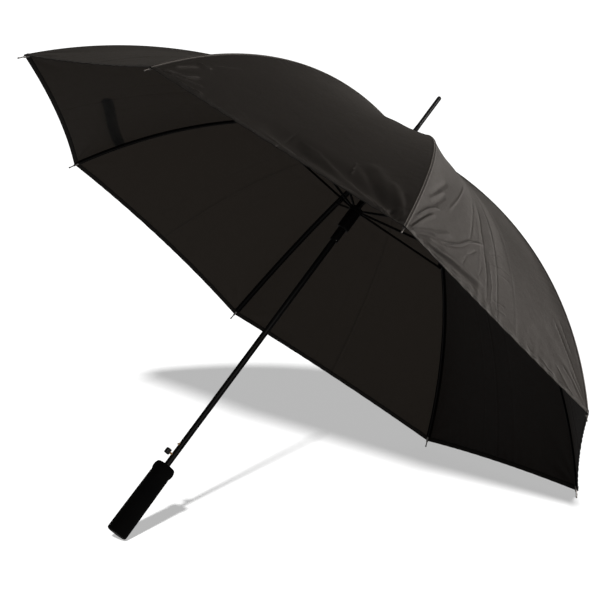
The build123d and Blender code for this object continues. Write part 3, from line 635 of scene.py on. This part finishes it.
SEAM_ROWS = (-SEAM_STITCH, SEAM_STITCH)
OUTER = cloth_material(
    "canopy_outer", base=(0.0085, 0.0073, 0.0063), lighter=(0.0155, 0.0134, 0.0117),
    rough=0.48, spec=0.42, sheen=0.07, translucent=0.20)
INNER = cloth_material(
    "canopy_inner", base=(0.0043, 0.0041, 0.0039), lighter=(0.0078, 0.0075, 0.0071),
    rough=0.62, spec=0.10, sheen=0.010, translucent=0.20)
# painted shade: a darker, less see-through copy of the inner cloth for the insides of panels 3 and
# 4 (counted from 0)
INNER_PAINTED_SHADE = cloth_material(
    "canopy_inner_painted_shade", base=(0.0042, 0.0032, 0.0030), lighter=(0.0076, 0.0058, 0.0055),
    rough=0.62, spec=0.10, sheen=0.010, translucent=0.05)
# partly painted highlight: the stitch rows on the outer seams are light grey, bright enough to
# stand in for highlights along the stitched ridges
SEAM_PAINTED_HIGHLIGHT = cloth_material(
    "canopy_seam", base=(0.0110, 0.0096, 0.0084), lighter=(0.0200, 0.0175, 0.0155),
    rough=0.50, spec=0.38, sheen=0.08,
    stitch=stitches(SEAM_ROWS, half_width=0.00055, color=(0.260, 0.245, 0.230)))
# partly painted shade: the inside seam strip is near black, standing in for the shade of the rib
# on the cloth as well as the doubled seam
SEAM_IN_PAINTED_SHADE = cloth_material(
    "canopy_seam_inside_painted_shade", base=(0.0011, 0.0009, 0.0009), lighter=(0.0018, 0.0015, 0.0014),
    rough=0.75, spec=0.04, sheen=0.0,
    stitch=stitches(SEAM_ROWS, half_width=0.0003, color=(0.003, 0.0027, 0.0025)))
HEM = cloth_material(
    "canopy_hem", base=(0.0080, 0.0070, 0.0061), lighter=(0.0140, 0.0122, 0.0108),
    rough=0.48, spec=0.34, sheen=0.05,
    stitch=stitches([HEM_STITCH], half_width=0.00035, color=(0.010, 0.0095, 0.009)))
# painted light: the inside of the hem is lighter than the inner cloth, standing in for light that
# shines through the thin cloth but not through the doubled hem
HEM_IN_PAINTED_LIGHT = cloth_material(
    "canopy_hem_inside_painted_light", base=(0.0092, 0.0082, 0.0072), lighter=(0.0150, 0.0134, 0.0119),
    rough=0.70, spec=0.08, sheen=0.0,
    stitch=stitches([HEM_STITCH], half_width=0.00035, color=(0.006, 0.0055, 0.005)))
STRAP = cloth_material(
    "strap_cloth", base=(0.008, 0.0075, 0.0070), lighter=(0.016, 0.0148, 0.0138),
    rough=0.58, spec=0.25, sheen=0.05,
    stitch=stitches((-0.0085, 0.0085), half_width=0.0004, color=(0.03, 0.028, 0.026),
                    pitch=0.003))

PAINTED = moulded("black_enamel", base=(0.0016, 0.0015, 0.0015), rough=0.50, grain=0.10,
                  grain_scale=2600, spec=0.10, wear=(0.006, 0.006, 0.006))
ROD = moulded("black_rod", base=(0.0018, 0.0016, 0.0016), rough=0.52, grain=0.12,
              grain_scale=1800, spec=0.12, wear=(0.006, 0.006, 0.006))
MOULD = moulded("black_moulding", base=(0.0016, 0.0014, 0.0013), rough=0.56, grain=0.24,
                grain_scale=1500, spec=0.10, wear=(0.006, 0.006, 0.006))
SEAL = moulded("slot_seal_black", base=(0.0020, 0.0018, 0.0018), rough=0.70, grain=0.30,
               grain_scale=1900, spec=0.08, wear=(0.004, 0.004, 0.004))
BUTTON = moulded("black_button", base=(0.0040, 0.0038, 0.0038), rough=0.44, grain=0.22,
                 grain_scale=1700, spec=0.22, wear=(0.02, 0.02, 0.02))
GLOSS = moulded("black_gloss", base=(0.0080, 0.0080, 0.0085), rough=0.16, grain=0.05,
                grain_scale=2200, spec=0.55, wear=(0.03, 0.03, 0.03))
TIP = metal("nickel_tip", base=(0.24, 0.23, 0.22), rough=0.30, scratch=0.20,
            dark=(0.10, 0.095, 0.09))
BRIGHT = metal("bright_pin", base=(0.80, 0.79, 0.77), rough=0.20, scratch=0.18,
               dark=(0.52, 0.51, 0.49))
WIRE = metal("drawn_wire", base=(0.56, 0.55, 0.53), rough=0.30, scratch=0.25,
             dark=(0.32, 0.30, 0.28))
CATCH = metal("catch_metal", base=(0.56, 0.37, 0.20), rough=0.34, scratch=0.25,
              dark=(0.34, 0.20, 0.10))
FOAM = foam_material()

BY_NODE = {
    "shaft_tube": PAINTED, "crown": MOULD, "crown_wire": WIRE, "crown_pin": WIRE,
    "canopy_rosette": MOULD, "ferrule": GLOSS, "main_spring": WIRE, "handle_core": MOULD,
    "handle_grip": FOAM, "handle_end_cap": MOULD, "catch_pin": WIRE, "catch_spring": WIRE,
    "release_catch": CATCH, "release_button": BUTTON, "runner": MOULD, "runner_wire": WIRE,
    "drive_pin": BRIGHT,
}
# the first prefix that fits counts
BY_PREFIX = {"rib_tip_": TIP, "rib_": PAINTED, "stretcher_": PAINTED, "rod_": ROD}


def node_material(name):
    if name in BY_NODE:
        return BY_NODE[name]
    return next((material for prefix, material in BY_PREFIX.items() if name.startswith(prefix)),
                None)


for node_name, node_object in frame["nodes"].items():
    chosen = node_material(node_name)
    if chosen is None:
        continue
    if not node_object.material_slots:
        node_object.data.materials.append(chosen)
    for material_slot in node_object.material_slots:
        material_slot.material = chosen

# ------------------------------------------------------------------ canopy
# The rib lengths that carry the cloth, with settings for folding each half panel
# towards its rib when the canopy closes, so that a panel becomes a valley between two ribs.
# tilt: degrees off square to the rib; keep: share of the width that is left;
# high: height of the fixed line in the rib's own bow.
PARTS = {
    "inner": {"body": "rib", "start": RIB_ROOT, "end": ROD_JOINT, "radius": INNER_RADIUS,
              "tilt": -8.4, "keep": 0.194, "high": -0.15},
    "outer": {"body": "rod", "start": ROD_JOINT, "end": CORNER, "radius": OUTER_RADIUS,
              "tilt": -14.5, "keep": 0.120, "high": 0.50},
}


def fold_piece(piece, panel, side, part):
    """Rides on one length of the rib beside a half panel and moves with it."""
    rib = rib_beside(panel, side)
    length = PARTS[part]
    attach(piece, f"{length['body']}_{rib}")
    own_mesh(piece)


def side_letter(side):
    return "a" if side < 0 else "b"


def half_panel(panel, side, part):
    """Inner or outer part of the panel's half beside rib p + 1 (-1) or p + 2 (+1)."""
    split_middle = Y_JOINT + MIDDLE_SHIFT
    hem_middle = Y_END - HEM_DEPTHS[panel]
    if part == "inner":
        rows, columns = ((64, 34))
        down = np.linspace(0, 1, rows)
        rib_y = down * Y_JOINT
        middle_y = down * split_middle
    else:
        full = (190, 104) if panel in DETAILED else (116, 60)
        rows, columns = full
        down = np.linspace(0, 1, rows)
        down = down - 0.10 * np.sin(2 * np.pi * down) / (2 * np.pi)
        rib_y = Y_JOINT + down * (Y_END - Y_JOINT)
        middle_y = split_middle + down * (hem_middle - split_middle)
    across = np.linspace(0, 1, columns)          # 0 at the rib, 1 at the middle
    across = across - 0.12 * np.sin(2 * np.pi * across) / (2 * np.pi)

    def blend(at_rib, at_middle):
        return at_rib[:, None] * (1 - across) + at_middle[:, None] * across

    x = side * seam_x(rib_y)[:, None] * (1 - across)
    y = blend(rib_y, middle_y)
    if part == "outer":
        # the rows bend into the curve of the hem
        weight = (down ** 4)[:, None]
        above_hem = blend(Y_END - rib_y, hem_middle - middle_y)
        y = y * (1 - weight) + (hem_y(panel, x) - above_hem) * weight
    points = cloth_point(panel, x, y)
    normals = cloth_normal(panel, x, y)
    # the cloth is thicker in the hem
    in_hem = np.clip((HEM_WIDTH - (hem_y(panel, x) - y)) / 0.0012, 0, 1)
    shift = normals * ((CLOTH_T + 0.0006 * in_hem) / 2)[..., None]
    uv = np.stack([x, y], -1)
    faces = sheet_faces(rows, columns)
    n_smooth = 2 * (rows - 1) * (columns - 1)
    face_materials = [0, 1] * (n_smooth // 2) + [0] * (len(faces) - n_smooth)
    piece = new_mesh(
        f"panel_{panel + 1}_{side_letter(side)}_{part}",
        two_layers(points + shift, points - shift), faces,
        # panels 3 and 4 take the inner cloth with painted shade
        [OUTER, INNER_PAINTED_SHADE if panel in (3, 4) else INNER], face_materials,
        two_layers(uv, uv), two_layers(normals, -normals), n_smooth)
    fold_piece(piece, panel, side, part)
    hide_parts(f"canopy_{rib_beside(panel, side)}")


# closed section of the hem: distance in from the rim, height off the middle of the cloth
HEM_SECTION = [
    (-0.00035, 0.0), (-0.0004, 0.00062), (0.0006, 0.00074), (HEM_WIDTH - 0.0004, 0.00074),
    (HEM_WIDTH, 0.00030), (HEM_WIDTH, -0.00030), (HEM_WIDTH - 0.0004, -0.00074),
    (0.0006, -0.00074), (-0.0004, -0.00062),
]


def hem_strip(panel, side):
    """Folded hem: a narrow doubled band on both faces along the rim, with its stitch line."""
    count = 90
    x = CORNER_X * (1 - np.linspace(0, 1, count)) * side
    vertices = []
    uvs = []
    for depth, height in HEM_SECTION:
        y = hem_y(panel, x) - depth
        vertices.append(cloth_point(panel, x, y) + cloth_normal(panel, x, y) * height)
        uvs.append(np.stack([np.full(count, depth), x], -1))
    faces = []
    face_materials = []
    lines = len(HEM_SECTION)
    for i in range(lines):
        this = i * count
        after = (i + 1) % lines * count
        for j in range(count - 1):
            faces.append((this + j, this + j + 1, after + j + 1, after + j))
            face_materials.append(0 if i < 4 else 1)
    faces.append(tuple(i * count for i in range(lines)))
    faces.append(tuple(i * count + count - 1 for i in range(lines))[::-1])
    face_materials += [0, 0]
    # the hem's inside faces take the inside hem cloth with painted light
    piece = new_mesh(f"hem_{panel + 1}_{side_letter(side)}", np.concatenate(vertices), faces,
                     [HEM, HEM_IN_PAINTED_LIGHT], face_materials, np.concatenate(uvs))
    fold_piece(piece, panel, side, "outer")


def seam_section(half_width):
    """(offset from the seam's middle, share of the full height) across the strip."""
    half = [(half_width, 0.0), (0.0033, 0.35), (0.0026, 0.85), (SEAM_STITCH, 1.0),
            (0.0014, 0.85), (0.0007, 0.35)]
    return [(-offset, share) for offset, share in half] + [(0.0, 0.22)] + half[::-1]


def seam_strip(rib, part, inside):
    """Felled seam over a rib: a narrow doubled strip with two stitch rows; the inside strip is
    wider and near black, painted shade of the rib.
    """
    before = (rib - 2) % N_RIBS
    after = rib - 1
    if part == "inner":
        y = np.linspace(0.001, Y_JOINT + 0.0015, 150)
    else:
        y = np.linspace(Y_JOINT - 0.0015, Y_END - 0.0002, 210)
    # the inside strip is widened to carry the painted shade of the rib
    half_width, full_height = (0.0062, 0.00045) if inside else (0.0042, 0.00085)
    outward = -1 if inside else 1
    edge_x = seam_x(y)
    section = seam_section(half_width)
    top = []
    bottom = []
    uvs = []
    for offset, share in section:
        if offset == 0:
            points = cloth_point(after, -edge_x, y)
            normal = (cloth_normal(after, -edge_x + 0.002, y)
                      + cloth_normal(before, edge_x - 0.002, y))
            normal /= np.linalg.norm(normal, axis=-1, keepdims=True)
        else:
            panel = after if offset > 0 else before
            x = -math.copysign(1, offset) * np.maximum(edge_x - abs(offset), 0.0)
            points = cloth_point(panel, x, y)
            normal = cloth_normal(panel, x, y)
        wobble = 0.00006 * np.sin(y * 2 * math.pi / (2 * STITCH_PITCH) + offset * 900)
        height = CLOTH_T / 2 + full_height * share + wobble
        top.append(points + normal * outward * height[:, None])
        # the underside is sunk into the cloth
        bottom.append(points + normal * outward * (CLOTH_T / 2 - 0.00012))
        uvs.append(np.stack([np.full(len(y), offset), y], -1))
    uvs = np.array(uvs)
    piece = new_mesh(f"seam_{rib}_{part}_{'inside' if inside else 'outside'}",
                     two_layers(np.array(top), np.array(bottom)),
                     sheet_faces(len(section), len(y)), [SEAM_IN_PAINTED_SHADE if inside else SEAM_PAINTED_HIGHLIGHT],
                     uvs=two_layers(uvs, uvs))
    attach(piece, f"{PARTS[part]['body']}_{rib}")


for panel_index in range(N_RIBS):
    for panel_side in (-1, 1):
        for part_name in PARTS:
            half_panel(panel_index, panel_side, part_name)
        hem_strip(panel_index, panel_side)
for rib_number in range(1, N_RIBS + 1):
    for part_name in PARTS:
        seam_strip(rib_number, part_name, inside=False)
        seam_strip(rib_number, part_name, inside=True)


# ------------------------------------------------------------------ closure strap
def closure_strap():
    """Soft strap sewn into the seam over rib_8, lying on the panel towards rib_1."""
    panel = N_RIBS - 1
    half_width = 0.0105
    start_x = -0.2165
    length = 0.2305
    middle_radius = 0.526        # of the panel's middle line, where the strap's line starts
    along = np.linspace(0, 1, 90)
    across = np.linspace(-1, 1, 13)[:, None]
    start_y = np.interp(middle_radius / COS_HALF, PROFILE[:, 0], PATTERN_Y)
    line_x = start_x + along * length
    line_y = start_y + 0.0030 * np.sin(along * 5.0) - 0.006 * along
    # the free end is rounded
    tip = np.clip((1 - along) / 0.045, 0, 1) ** 0.5
    offset = across * half_width * (0.25 + 0.75 * tip)
    x = line_x + 0.06 * offset
    y = line_y + offset
    points = cloth_point(panel, x, y)
    normals = cloth_normal(panel, x, y)
    swell = np.sin(np.pi * along)
    lift = 0.0013 + 0.0030 * swell ** 2 + 0.0008 * np.sin(along * 23 + 1.0) * swell
    lift = lift + 0.0007 * across * np.sin(along * 9)
    half_thickness = 0.00055 * (1 - 0.55 * np.abs(across) ** 8)
    top, bottom = (points + normals * (lift + face * half_thickness)[..., None]
                   for face in (1, -1))
    uv = np.stack(np.broadcast_arrays(across * half_width, line_x), -1)
    piece = new_mesh("strap", two_layers(top, bottom), sheet_faces(across.size, along.size),
                     [STRAP], uvs=two_layers(uv, uv))
    fold_piece(piece, panel, -1, "outer")
    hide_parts("closure_strap")


closure_strap()


# ------------------------------------------------------------------ slot seals
def slot_seal(side):
    """Soft dark strip behind one of the shaft's long slots, on +X or -X."""
    z = np.linspace(0.2035, 0.6555, 46)[:, None]
    angle = np.radians(np.linspace(-27, 27, 9))
    wobble = 0.00003 * np.sin(z * 900 + 3 * angle)

    def layer(radius):
        x = side * (radius + wobble) * np.cos(angle)
        y = (radius + wobble) * np.sin(angle)
        return np.stack(np.broadcast_arrays(x, y, z), -1)

    piece = new_mesh(f"slot_seal_{'right' if side > 0 else 'left'}",
                     two_layers(layer(0.00455), layer(0.00430)),
                     sheet_faces(z.size, angle.size), [SEAL])
    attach(piece, "shaft")


slot_seal(1)
slot_seal(-1)


# ------------------------------------------------------------------ floor
def floor_material():
    """White ground; it lights the umbrella less than it shows, and is clear from behind."""
    shown_glow = 0.46
    dimming = 0.70
    material, graph = material_graph("floor_white")
    diffuse = graph.add("BsdfDiffuse", {0: (0.34, 0.34, 0.34, 1)})
    glow = graph.add("Emission", {0: (1, 1, 1, 1), 1: shown_glow})
    shown = graph.add("AddShader", {0: diffuse.outputs[0], 1: glow.outputs[0]})
    dark = graph.add("Emission", {0: (0, 0, 0, 1)})
    camera_ray = graph.add("LightPath").outputs["Is Camera Ray"]
    dim = graph.calc("MULTIPLY", graph.calc("SUBTRACT", 1.0, camera_ray), dimming)
    dimmed = graph.mix_shaders(dim, shown.outputs[0], dark.outputs[0])
    clear = graph.add("BsdfTransparent")
    behind = graph.add("NewGeometry").outputs["Backfacing"]
    graph.feed(graph.output, 0, graph.mix_shaders(behind, dimmed, clear.outputs[0]))
    return material


def build_floor():
    """Plane through the tips of ribs 5 and 6 and the end of the grip, just clear of them."""
    half_size = 40.0
    gap = 0.0006
    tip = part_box("rib_tip_5")
    grip_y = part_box("handle_grip")[1].y
    normal = Vector((0, -tip[0].z, tip[1].y - grip_y)).normalized()
    origin = Vector((0, grip_y, 0)) - normal * gap
    along = Vector((1, 0, 0))
    across = normal.cross(along).normalized()
    corners = [tuple(origin + along * i * half_size + across * j * half_size)
               for i, j in ((-1, -1), (1, -1), (1, 1), (-1, 1))]
    mesh = bpy.data.meshes.new("floor")
    mesh.from_pydata(corners, [], [(0, 1, 2, 3)])
    mesh.update()
    piece = bpy.data.objects.new("floor", mesh)
    bpy.context.scene.collection.objects.link(piece)
    mesh.materials.append(floor_material())
    return piece


floor = build_floor()
scene = bpy.context.scene


# ------------------------------------------------------------------ world and lights
def build_world():
    """White to the camera, almost dark as a light."""
    world = bpy.data.worlds.new("studio")
    scene.world = world
    world.use_nodes = True
    graph = Graph(world.node_tree, "OutputWorld")
    seen, lighting = (graph.add("Background", {0: (1, 1, 1, 1), 1: strength})
                      for strength in (1.0, 0.05))
    camera_ray = graph.add("LightPath").outputs["Is Camera Ray"]
    mixed = graph.mix_shaders(camera_ray, lighting.outputs[0], seen.outputs[0])
    graph.feed(graph.output, 0, mixed)


build_world()
only_floor = bpy.data.collections.new("lit_floor")
only_floor.objects.link(floor)
not_floor = bpy.data.collections.new("lit_all_but_floor")
not_floor.objects.link(floor)
not_floor.collection_objects[0].light_linking.link_state = "EXCLUDE"


def sun_light(name, direction, energy, angle, color=(1, 1, 1), receivers=not_floor):
    """Sun shining from a direction; the angle is its size in degrees."""
    lamp = bpy.data.lights.new(name, "SUN")
    lamp.energy = energy
    lamp.angle = math.radians(angle)
    lamp.color = color
    light = bpy.data.objects.new(name, lamp)
    scene.collection.objects.link(light)
    light.rotation_euler = Vector(direction).normalized().to_track_quat("Z", "Y").to_euler()
    light.light_linking.receiver_collection = receivers
    return light


# the camera's axes, which also place the lights
forward = Vector((-0.84637166, 0.48150018, 0.22762377)).normalized()
right = Vector((0.5151826, 0.63178135, 0.57917115)).normalized()
up = right.cross(forward).normalized()
right = forward.cross(up).normalized()

# the shadow on the ground comes from one hard light of its own
sun_light("ground_key", (0.675, -0.734, 0.078), energy=11.0, angle=3.4, receivers=only_floor)
sun_light("front", -forward + 0.45 * right - 0.12 * up, energy=3.0, angle=45,
          color=(1.0, 0.965, 0.93))
sun_light("right_back", right + 0.9 * forward, energy=1.0, angle=40, color=(1.0, 0.915, 0.845))
sun_light("right_rim", right + 1.9 * forward + 0.1 * up, energy=0.25, angle=35,
          color=(1.0, 0.92, 0.85))
sun_light("right_top", right + 0.65 * up, energy=0.75, angle=40, color=(1.0, 0.90, 0.82))
left_back = sun_light("left_back", (-0.85, -0.30, 0.55), energy=1.8, angle=30,
                      color=(1.0, 0.94, 0.88))
left_back.visible_glossy = False

scene.view_settings.view_transform = "Standard"
scene.view_settings.look = "None"
scene.view_settings.exposure = 0.0
scene.view_settings.gamma = 1.0


# ------------------------------------------------------------------ camera
def build_camera():
    data = bpy.data.cameras.new("camera")
    data.sensor_width = 36.0
    data.lens = 129.231
    data.clip_start = 0.05
    data.clip_end = 200
    camera = bpy.data.objects.new("camera", data)
    scene.collection.objects.link(camera)
    placement = Matrix((right, up, -forward)).transposed().to_4x4()
    placement.translation = Vector((3.34370253, -1.87031086, -0.36542913))
    camera.matrix_world = placement
    scene.camera = camera


build_camera()
